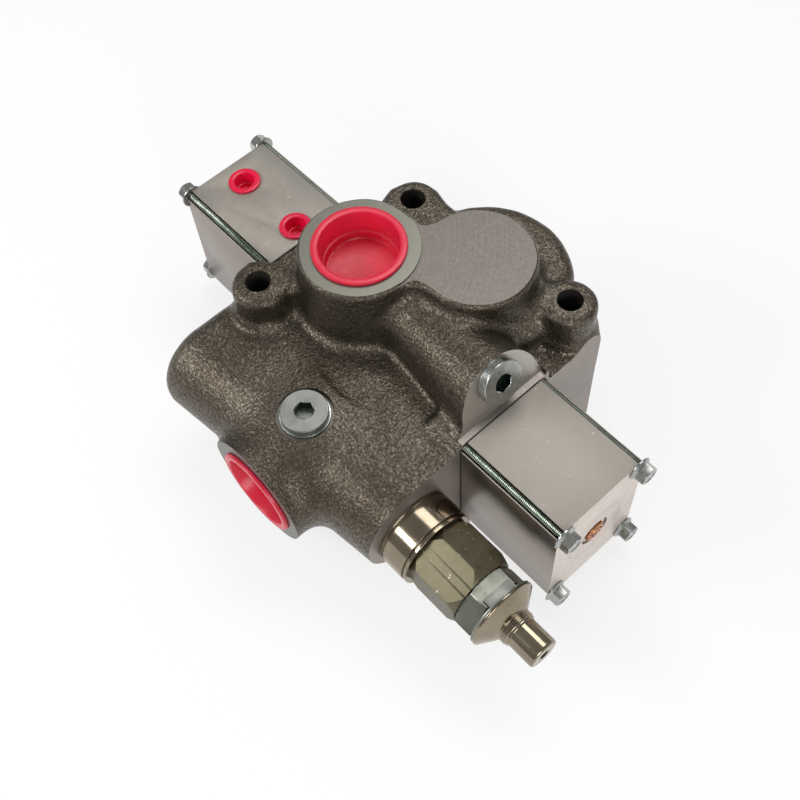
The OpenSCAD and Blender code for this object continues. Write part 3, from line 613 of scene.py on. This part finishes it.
def rounded_box(cx, cy, cz, hx, hy, hz, r):
    qx = np.abs(gx - cx) - (hx - r)
    qy = np.abs(gy - cy) - (hy - r)
    qz = np.abs(gz - cz) - (hz - r)
    outside = np.sqrt(np.maximum(qx, 0) ** 2 + np.maximum(qy, 0) ** 2 + np.maximum(qz, 0) ** 2)
    return outside + np.minimum(np.maximum(np.maximum(qx, qy), qz), 0) - r


def rounded_meet(a, b, r):
    """Where two distances overlap, with a round edge of radius r between them."""
    a, b = a + r, b + r
    return np.sqrt(np.maximum(a, 0) ** 2 + np.maximum(b, 0) ** 2) + np.minimum(np.maximum(a, b), 0) - r


def arm_field():
    """Side arm with a full round edge, narrower towards the spring end."""
    taper = np.clip((gx - ARM_START) / (HALF - ARM_START), 0, 1)
    reach = ARM_REACH[0] - (ARM_REACH[0] - ARM_REACH[1]) * taper
    r = (ARM_TOP + SPOT_SINK - ARM_LOW) / 2
    qy = np.abs(gy + (reach + 10) / 2) - (reach - 10) / 2 + r
    qz = np.abs(gz - ARM_LOW - r) + 0 * gy
    across = np.sqrt(np.maximum(qy, 0) ** 2 + qz ** 2) + np.minimum(np.maximum(qy, qz), 0) - r
    return rounded_meet(across, -gx - 84 + 0 * gy, 11)


def casting_field():
    # Main block, wider than the casting along X, because its ends are machined off
    plan = flat_polygon(gx, gy, [(-96, -35), (96, -35), (96, 72), (64, 80), (18, 92), (-20, 80),
                                 (-46, 50), (-96, 36)])
    body = upright(plan, -10, 86, 6)
    lobe = upright(flat_circle(gx, gy, *LOBE[:3]), -10, LOBE[3], 9)
    body = join(body, lobe, 8)
    # Pads behind the end blocks
    for side in (-1, 1):
        pad = rounded_box(side * 86, 0, 66, 30, 33.5, 28, 4)
        body = join(body, pad, 4)
    body = join(body, arm_field(), 7)
    # Pump port boss
    boss = np.sqrt((gx - PUMP[0]) ** 2 + (gz - AXIS_Z) ** 2) - PUMP[2]
    boss = both(boss + 0 * gy, np.maximum(PUMP[1] - 3 - gy, gy + 60) + 0 * gx, 1)
    body = join(body, boss, 13)
    # Tank port ring, milled pad and the bridge between them
    drop = np.clip((128 - gz) / 40, 0, 1) * 2.5
    ring = flat_circle(gx, gy, RING[0], RING[1], RING[2] + 1.9) - drop
    pad = flat_circle(gx, gy, PAD[0], PAD[1], PAD[2] + 2.3) - drop
    top = PAD[3] + 0.5 + np.clip(1 - ring, 0, 1)
    tops = rounded_meet(join(ring, pad, 18), np.maximum(70 - gz, gz - top), 3.4)
    body = join(body, tops, 8)
    # Ears, their feet and the webs at their backs
    webs = (
        [(-61.5, 50.5), (-58.5, 28), (-30.5, 10), (6, 41), (-8, 68), (-22, 66.5), (-43, 67)],
        [(52, 68), (36, 57), (28, 36), (52, 41), (59, 52)],
        [(-78.5, -42), (-48, -50), (-47.5, -39), (-44.5, -32), (-30.5, -10), (-58, -24.5)],
    )
    for (cx, cy), web in zip(EARS, webs):
        ear = flat_circle(gx, gy, cx, cy, EAR_R)
        ledge = flat_polygon(gx, gy, web)
        body = join(body, upright(join(ear, ledge, 6), 60, EAR_TOP, 6), 7)
        body = join(body, upright(ear, -10, 90, 3), 6)
    # Neck of the cylinder port, which widens into a broad hump under its plug
    t = np.clip((gx - NECK_START) / (PLUG[0] - NECK_START), -0.1, 1.1)
    radius = 15.5 + 11.2 * np.clip(t, 0, 2) ** 1.3
    neck = np.sqrt((gy - PLUG[1]) ** 2 + (gz - (101 - 2.4 * t)) ** 2) - radius
    skirt = np.abs(gy - PLUG[1]) - (radius - 2) + 0 * gz
    skirt = rounded_meet(skirt, np.maximum(gz - 98, 60 - gz) + 0 * gx, 3)
    neck = both(join(neck, skirt, 6), np.maximum(-16 - gx, gx - 90) + 0 * gz, 1)
    return join(body, neck, 8)


def casting_mesh():
    field = casting_field()
    wobble = np.random.default_rng(7)
    coarse = wobble.normal(0, 1, (24, 30, 20)).astype(np.float32)
    index = [np.linspace(0, n - 1.001, field.shape[i]) for i, n in enumerate(coarse.shape)]
    low = [np.floor(v).astype(int) for v in index]
    part = [(v - f).astype(np.float32) for v, f in zip(index, low)]
    soft = np.zeros_like(field)
    for dx in (0, 1):
        for dy in (0, 1):
            for dz in (0, 1):
                w = [p if d else 1 - p for p, d in zip(part, (dx, dy, dz))]
                weight = w[0][:, None, None] * w[1][None, :, None] * w[2][None, None, :]
                soft += coarse[np.ix_(low[0] + dx, low[1] + dy, low[2] + dz)] * weight
    field += 0.12 * soft
    grid = openvdb.FloatGrid(background=3.0)
    grid.copyFromArray(np.ascontiguousarray(np.clip(field, -3, 3)))
    points, quads = grid.convertToQuads(0.0)
    points = points * STEP + np.array([gx.flat[0], gy.flat[0], gz.flat[0]])
    return raw_object("casting", ((points * MM).tolist(), quads.tolist()))


def big_box(name, low, high):
    verts = [Vector((x, y, z)) * MM for x in (low[0], high[0]) for y in (low[1], high[1])
             for z in (low[2], high[2])]
    faces = [(0, 1, 3, 2), (4, 6, 7, 5), (0, 4, 5, 1), (2, 3, 7, 6), (0, 2, 6, 4), (1, 5, 7, 3)]
    return raw_object(name, (verts, faces))


def round_cut(centre, axis, profile, segments=96):
    return raw_object("cut", revolved(profile, centre, axis, segments))


def machine_casting(obj):
    keep = big_box("keep", (-100, PUMP[1], 0), (HALF, 120, RING[3]))
    combine(obj, [keep], "INTERSECT")
    # The air end is flat beside the arm, whose own end stands a little further out
    cuts = [big_box("cut", (-110, -33, -10), (-HALF, 120, 140))]
    # The pad lies a little below the ring
    outer = round_cut((PAD[0], PAD[1], 0), (0, 0, 1), [(PAD[3], 46), (PAD[3] + 4, 46)])
    inner = round_cut(RING[:2] + (0,), (0, 0, 1), [(PAD[3] - 3, RING[2] + 1), (PAD[3] + 6, RING[2] + 1)])
    combine(outer, [inner], "DIFFERENCE")
    cuts.append(outer)
    # Holes of the large ports, the ears and the cylinder port
    cuts.append(round_cut((RING[0], RING[1], 0), (0, 0, 1), [(100, PORT_R), (130.6, PORT_R), (133, 26.5)]))
    cuts.append(round_cut((PUMP[0], 0, AXIS_Z), (0, -1, 0), [(88, PORT_R), (115.2, PORT_R), (118, 26.5)]))
    for cx, cy in EARS:
        hole = [(-8, EAR_HOLE_R), (112.1, EAR_HOLE_R), (115, 9)]
        cuts.append(round_cut((cx, cy, 0), (0, 0, 1), hole, 64))
    cuts.append(round_cut(PLUG, PLUG_AXIS, [(-25, PLUG_HOLE_R), (5, PLUG_HOLE_R)], 64))
    # The cylinder port's spot face and the slope before it, both cut only above the end block's pad
    spot = round_cut(SPOT_CENTRE, PLUG_AXIS, [(0, SPOT_R), (40, SPOT_R)], 128)
    front = big_box("cut", (0, -60, -PAD_TOP), (60, 24, 60))
    place = Matrix.Translation((PLUG[0] * MM, 0, PLUG[2] * MM))
    front.data.transform(place @ Matrix.Rotation(-PLUG_TILT, 4, "Y"))
    for cut in (spot, front):
        combine(cut, [big_box("tool", (20, -70, PAD_TOP + 0.2), (140, 60, 190))], "INTERSECT")
        cuts.append(cut)
    # Holes of the gauge port, the cartridge, the spool and the tie bolts
    cuts.append(round_cut((GAUGE[0], GAUGE[1], 0), (0, 0, 1),
                          [(60, PLUG_HOLE_R), (ARM_TOP, PLUG_HOLE_R), (ARM_TOP, 15.9), (100, 15.9)]))
    cuts.append(round_cut((0, RELIEF_Y, AXIS_Z), (1, 0, 0), [(40, 16.6), (90, 16.6)]))
    for start in (-90, 60):
        cuts.append(round_cut((start, 0, AXIS_Z), (1, 0, 0), [(0, 16), (30, 16)]))
        for y, z in BOLTS:
            cuts.append(round_cut((start, y, AXIS_Z + z), (1, 0, 0), [(0, 3.05), (30, 3.05)], 24))
    combine(obj, cuts, "DIFFERENCE")


def casting_finish(c, n):
    """Finish of a face of the casting, from its middle in mm and its normal."""
    spot_normal = Vector(PLUG_AXIS)
    level = n.z > 0.9998
    if level and abs(c.z - RING[3]) < 0.02:
        return RING_FACE
    if level and abs(c.z - PAD[3]) < 0.02:
        return PAD_FACE
    if abs(abs(c.x) - HALF) < 0.05 and abs(n.x) > 0.9:
        return END_FACE
    if c.z < 0.05 and n.z < -0.9:
        return MACHINED
    if c.y < PUMP[1] + 0.1 and n.y < -0.9:
        return BOSS_FACE
    from_spot = abs((c - Vector(PLUG)).dot(spot_normal))
    if c.z > PAD_TOP and n.dot(spot_normal) > 0.999 and from_spot < 0.05:
        return SPOT_FACE
    if c.x > 70 and n.z > 0.95 and abs(c.z - PAD_TOP) < 0.5:
        return END_FACE
    if abs(c.z - ARM_TOP) < 0.05 and n.z > 0.9 and math.hypot(c.x - GAUGE[0], c.y - GAUGE[1]) < 16:
        return GAUGE_FACE
    if math.hypot(c.x - RING[0], c.y - RING[1]) < 27 and c.z > 99:
        return MACHINED
    # The walls of the ears' holes are painted dark: painted shade inside the holes
    if any(math.hypot(c.x - e[0], c.y - e[1]) < EAR_HOLE_R + 0.2 for e in EARS) and abs(n.z) < 0.9:
        return BORE_SHADE
    return IRON


casting = casting_mesh()
machine_casting(casting)
paint(casting, (IRON, MACHINED, RING_FACE, PAD_FACE, BOSS_FACE, SPOT_FACE, GAUGE_FACE, END_FACE, BORE_SHADE),
      casting_finish)
shade(casting, 35)
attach(casting, "valve")
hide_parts("valve_body")


# End blocks

def block_finish(c, n):
    """Finish of a face of an end block: its outer end, its two sides, or the rest."""
    if abs(n.x) > 0.7 and min(abs(c.x - AIR_FACE), abs(c.x - SPRING_FACE)) < 3:
        return BLOCK_END
    return BLOCK_SIDE if abs(n.y) > 0.7 else BLOCK_TOP_MAT


for node in ("air_cylinder", "spring_housing"):
    paint(dressed(node, BLOCK_TOP_MAT, 0.35), (BLOCK_TOP_MAT, BLOCK_SIDE, BLOCK_END), block_finish)


# Tie bolts

def threaded_bar(name, centre, axis, low, high, major, minor, pitch, mat, slot):
    """Threaded bar, as rings of points whose radius follows the thread."""
    around, per_turn = 20, 5
    x, y, z = frame_along(axis)
    c = Vector(centre)
    steps = int((high - low) / pitch * per_turn)
    verts, faces = [], []
    for i in range(steps + 1):
        along = low + (high - low) * i / steps
        for j in range(around):
            phase = (along / pitch - j / around) % 1.0
            wave = 1 - abs(2 * phase - 1)
            r = minor + (major - minor) * min(1.0, wave * 1.25)
            a = 2 * math.pi * j / around
            verts.append((c + z * along + (x * math.cos(a) + y * math.sin(a)) * r) * MM)
    for i in range(steps):
        for j in range(around):
            k = (j + 1) % around
            faces.append((i * around + j, i * around + k, (i + 1) * around + k, (i + 1) * around + j))
    faces.append(tuple(range(around))[::-1])
    faces.append(tuple(range(steps * around, (steps + 1) * around)))
    new_object(name, verts, faces, mat, slot, 24)


def flange_head(name, centre, axis, turn):
    """Hexagon head with its round flange, chamfer and shallow dish."""
    rim = [(0, 6.6), (0.25, 7.05), (0.9, 7.1), (1.3, 6.6), (2.4, 5.2)]
    flange = raw_object(name, revolved(rim, centre, axis, 48))
    head = raw_object("tool", prism(hexagon(10, turn), centre, axis, 0.8, 7.6))
    cone = raw_object("tool", revolved([(0, 6.6), (6.7, 6.2), (7.6, 4.9)], centre, axis, 48))
    combine(head, [cone], "INTERSECT")
    combine(flange, [head], "UNION")
    dish = raw_object("tool", revolved([(7.1, 3.0), (7.3, 3.9), (8.5, 4.1)], centre, axis, 32))
    combine(flange, [dish], "DIFFERENCE")
    bevelled(flange, 0.18, 25)
    finish_piece(flange, ZINC, "valve", 35)
    return flange


# How far each head is turned, in degrees, taken from the end
turns = [11, 47, 23, 5, 35, 52, 17, 29]
for side, node, face in ((-1, "air_side_bolts", AIR_FACE), (1, "spring_side_bolts", SPRING_FACE)):
    for y, z in BOLTS:
        label = f"{node}_{'l' if y < 0 else 'r'}{'b' if z < 0 else 't'}"
        centre = (face, y, AXIS_Z + z)
        head = flange_head(label + "_head", centre, (side, 0, 0), turns.pop())
        threaded_bar(label + "_rod", centre, (side, 0, 0), 70 - abs(face), 0.3, 3.0, 2.3, 1.0, ZINC_DARK,
                     "zinc_steel")
        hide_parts(node)


# Shipping caps

def cap(name, centre, axis, flange_r, flange_t, body_r, depth, wall, mat, nodes, segments=128):
    """Shipping cap as a cup with a flange; its flange rests at the centre."""
    inner = body_r - wall
    low = wall - depth
    profile = [(-depth, 0), (-depth, body_r - 1.2), (1.2 - depth, body_r), (0, body_r), (0, flange_r - 0.4),
               (0.4, flange_r), (flange_t - 0.7, flange_r), (flange_t - 0.2, flange_r - 0.25),
               (flange_t, flange_r - 0.8), (flange_t, inner + 1.6), (flange_t - 0.3, inner + 0.8),
               (flange_t - 1.2, inner + 0.35), (-depth * 0.62, inner - 0.5), (-depth * 0.64, inner - 1.3),
               (low + 0.8, inner - 1.7), (low + 0.2, inner - 2.2), (low, inner - 3.2), (low, 0)]
    piece = new_object(name, *revolved(profile, centre, axis, segments), mat, "red_plastic", 30)
    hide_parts(*nodes)


cap("tank_cap", (RING[0], RING[1], RING[3]), (0, 0, 1), 26.4, 2.2, 23.9, 20, 2.2, RED, ["tank_port_cap"])
cap("pump_cap", (PUMP[0], PUMP[1], AXIS_Z), (0, -1, 0), 26.4, 2.2, 23.9, 20, 2.2, RED, ["pump_port_cap"])
for side, inset in (("far", 59.7), ("near", 11.2)):
    cap("air_cap_" + side, (-HALF - inset, 0, BLOCK_TOP), (0, 0, 1), 9.7, 1.6, 6.4, 9, 1.0, RED_SMALL,
        ["air_port_caps"], 64)


# Plugs, cartridge and the pieces that keep their solids

def plug(node, centre, axis, washer, top, radius, washer_r, mat):
    """Collared plug with a hexagon socket on its washer; its sealing face is at the centre."""
    socket = [raw_object("tool", prism(hexagon(10, 12), centre, axis, top - 6.5, top + 3)),
              round_cut(centre, axis, [(top - 0.55, 5.0), (top + 0.4, 6.1)], 48)]
    piece = turned(node + "_turned", [(-12, 0), (-12, 9.4), (-11, 10.3), (washer, 10.3), (washer, radius),
                                      (top, radius), (top, 0)], centre, axis, mat, node, 0.7, 96, socket)
    # The socket's walls and floor get the dark socket finish, a painted shade inside the recess
    piece.data.materials.append(SOCKET_SHADE)
    for poly in piece.data.polygons:
        off = poly.center / MM - Vector(centre)
        along = off.dot(Vector(axis))
        if 0 < along < top - 0.6 and (off - Vector(axis) * along).length < 6:
            poly.material_index = 1
    hole = round_cut(centre, axis, [(-1, PLUG_HOLE_R), (washer + 1, PLUG_HOLE_R)], 64)
    turned(node + "_washer", [(0, 0), (0, washer_r), (washer, washer_r), (washer, 0)], centre, axis, ZINC,
           "plug_washers", 0.3, 96, [hole])


plug("cylinder_port_plug", PLUG, PLUG_AXIS, 1.0, 6.0, 13.1, 12.6, ZINC)
plug("gauge_port_plug", (GAUGE[0], GAUGE[1], ARM_TOP), (0, 0, 1), 1.5, 5.5, 13.3, 14.2, ZINC_FACE)

CARTRIDGE = ((0, RELIEF_Y, AXIS_Z), (1, 0, 0))


def cartridge():
    collar = [(66, 0), (66, 16.2), (80.55, 16.2), (80.55, 23.6), (82.2, 24), (82.2, 23.2), (82.9, 23.2),
              (82.9, 24), (98.2, 24), (98.2, 22.5), (99.1, 22.5), (99.1, 23.7), (101, 23.7), (101, 0)]
    turned("cartridge_collar", collar, *CARTRIDGE, NICKEL, "relief_body", 0.35, 128)
    hex_bar("cartridge_hexagon", 39.5, 30, 100.9, 134, 20.4, 20.0, 0.5, *CARTRIDGE, NICKEL_FLAT,
            "relief_body", 0.35)
    hex_bar("lock_nut", 36.5, 56, 134, 147.5, 18.6, 18.6, 1.6, *CARTRIDGE, ZINC_DULL,
            "relief_lock_nut", 0.3)
    flat_ring = [(147.5, 12.2), (147.5, 21.2), (148.7, 21.2), (148.7, 12.2)]
    washer = raw_object("lock_washer", revolved(flat_ring, *CARTRIDGE, 96))
    tab = raw_object("tool", prism([(-9, 18.35), (9, 18.35), (9, 19.55), (-9, 19.55)],
                                   (0, 0, 0), (1, 0, 0), 142.5, 148.7))
    place = Matrix.Translation(Vector(CARTRIDGE[0]) * MM)
    tab.data.transform(place @ Matrix.Rotation(math.radians(-4), 4, "X"))
    combine(washer, [tab], "UNION")
    bevelled(washer, 0.3)
    finish_piece(washer, ZINC_FACE, "valve", 40)
    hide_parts("relief_lock_washer")
    gland = [(122, 0), (122, 11.6), (148.7, 11.6), (148.7, 21.4), (150.0, 21.4), (155.8, 12.9),
             (156.9, 10.9)]
    gland += [(157.3 + 1.1 * i + 0.55 * k, 10.9 - 0.7 * k) for i in range(4) for k in (0, 1)]
    gland += [(162.0, 10.2), (162.7, 9.9), (162.7, 0)]
    turned("domed_gland", gland, *CARTRIDGE, NICKEL, "relief_gland", 0.5, 128)
    socket = [raw_object("tool", prism(hexagon(6, 10), *CARTRIDGE, 171.5, 185)),
              round_cut(*CARTRIDGE, [(178.7, 3.1), (179.8, 4.2)], 48)]
    turned("adjusting_stem", [(140, 0), (140, 9.3), (179.2, 9.3), (179.2, 0)], *CARTRIDGE, NICKEL,
           "adjusting_screw", 1.6, 96, socket)


cartridge()
breather_slot = big_box("tool", (SPRING_FACE - 0.3, -8, AXIS_Z - 0.7), (SPRING_FACE + 4, 8, AXIS_Z + 0.7))
turned("breather_turned", [(-10, 0), (-10, 4), (-1.5, 4), (-1.5, 6.5), (0.2, 6.5), (0.9, 5.6), (0.9, 4.4),
                           (0.1, 3.9), (0.1, 3.2), (1.0, 2.7), (1.0, 0)],
       (SPRING_FACE, 0, AXIS_Z), (1, 0, 0), BRONZE, "breather", 0.2, 64, [breather_slot])

CARRIED = {
    "end_gaskets": GASKET, "spool_seals": RUBBER, "spool": GROUND,
    "air_piston": BLOCK_TOP_MAT, "piston_seal": RUBBER, "piston_nut": ZINC, "inner_spring_seat": GROUND,
    "outer_spring_seat": GROUND, "seat_screw": SPRING, "return_spring": SPRING, "relief_seal": RUBBER,
    "relief_spring_seat": GROUND, "relief_spring": SPRING, "relief_poppet": GROUND,
}
for node, mat in CARRIED.items():
    data = frame["nodes"][node].data
    data.materials.clear()
    data.materials.append(mat)


# Floor, light and camera

def floor_material():
    """Pale floor that the camera and mirrors see nearly white, with a soft shadow."""
    mat = bpy.data.materials.new("pale_floor")
    mat.use_nodes = True
    tree = mat.node_tree
    tree.nodes.clear()
    out = tree.nodes.new("ShaderNodeOutputMaterial")
    bounce = tree.nodes.new("ShaderNodeBsdfDiffuse")
    bounce.inputs["Color"].default_value = (0.5, 0.5, 0.5, 1)
    shown = tree.nodes.new("ShaderNodeBsdfDiffuse")
    shown.inputs["Color"].default_value = (0.25, 0.25, 0.25, 1)
    glow = tree.nodes.new("ShaderNodeEmission")
    glow.inputs["Color"].default_value = (1, 1, 1, 1)
    glow.inputs["Strength"].default_value = 0.74
    add = tree.nodes.new("ShaderNodeAddShader")
    tree.links.new(shown.outputs[0], add.inputs[0])
    tree.links.new(glow.outputs[0], add.inputs[1])
    path = tree.nodes.new("ShaderNodeLightPath")
    seen = tree.nodes.new("ShaderNodeMath")
    seen.operation = "MAXIMUM"
    tree.links.new(path.outputs["Is Camera Ray"], seen.inputs[0])
    tree.links.new(path.outputs["Is Glossy Ray"], seen.inputs[1])
    clear = tree.nodes.new("ShaderNodeMath")
    clear.operation = "MAXIMUM"
    tree.links.new(seen.outputs[0], clear.inputs[0])
    tree.links.new(path.outputs["Is Transmission Ray"], clear.inputs[1])
    mix = tree.nodes.new("ShaderNodeMixShader")
    tree.links.new(clear.outputs[0], mix.inputs[0])
    tree.links.new(bounce.outputs[0], mix.inputs[1])
    tree.links.new(add.outputs[0], mix.inputs[2])
    tree.links.new(mix.outputs[0], out.inputs["Surface"])
    return mat


def add_floor():
    mesh = bpy.data.meshes.new("floor")
    half = 6.0
    corners = [(-half, -half, 0), (half, -half, 0), (half, half, 0), (-half, half, 0)]
    mesh.from_pydata(corners, [], [(0, 1, 2, 3)])
    obj = bpy.data.objects.new("floor", mesh)
    obj.data.materials.append(floor_material())
    obj.location.z = -0.0005
    scene.collection.objects.link(obj)


def add_light(name, place, target, size, power, colour=(1, 1, 1)):
    light = bpy.data.lights.new(name, "AREA")
    light.shape = "RECTANGLE"
    light.size, light.size_y = size
    light.energy = power
    light.color = colour
    obj = bpy.data.objects.new(name, light)
    obj.location = Vector(place)
    obj.rotation_euler = (Vector(target) - Vector(place)).to_track_quat("-Z", "Y").to_euler()
    scene.collection.objects.link(obj)


def add_world():
    world = bpy.data.worlds.new("studio")
    scene.world = world
    world.use_nodes = True
    tree = world.node_tree
    back = tree.nodes["Background"]
    back.inputs["Color"].default_value = (1, 1, 1, 1)
    path = tree.nodes.new("ShaderNodeLightPath")
    seen = tree.nodes.new("ShaderNodeMapRange")
    seen.inputs["To Min"].default_value = 0.35
    seen.inputs["To Max"].default_value = 1.0
    tree.links.new(path.outputs["Is Camera Ray"], seen.inputs["Value"])
    tree.links.new(seen.outputs["Result"], back.inputs["Strength"])


def add_camera():
    """Camera as solved from the photograph: its angles, the point it faces, its distance and its lens."""
    az, el, roll = (math.radians(v) for v in (52.54, 59.56, 5.62))
    ahead = Vector((-math.sin(az) * math.cos(el), math.cos(az) * math.cos(el), -math.sin(el)))
    level = Vector((math.cos(az), math.sin(az), 0))
    below = ahead.cross(level)
    right = math.cos(roll) * level + math.sin(roll) * below
    down = -math.sin(roll) * level + math.cos(roll) * below
    faced = Vector((HALF - 42.49, -35.14, BLOCK_TOP))
    distance = 598.4
    focal_pixels, picture_width = 1126.55, 800
    camera = bpy.data.cameras.new("camera")
    camera.sensor_width = 36
    camera.lens = 36 * focal_pixels / picture_width
    camera.clip_start = 0.02
    obj = bpy.data.objects.new("camera", camera)
    eye = (faced - ahead * distance) * MM
    obj.matrix_world = Matrix.Translation(eye) @ Matrix((right, -down, -ahead)).transposed().to_4x4()
    scene.collection.objects.link(obj)
    scene.camera = obj


add_floor()
add_world()
add_light("overhead", (-0.15, 0.45, 1.1), (0, 0, 0.05), (0.9, 0.5), 5.2)
add_light("window", (-0.5, -0.85, 0.8), (0, 0, 0.05), (0.7, 0.3), 6.5)
add_light("right", (0.95, -0.45, 0.55), (0, 0, 0.05), (0.5, 0.4), 4.2)
add_camera()
scene.view_settings.view_transform = "Standard"
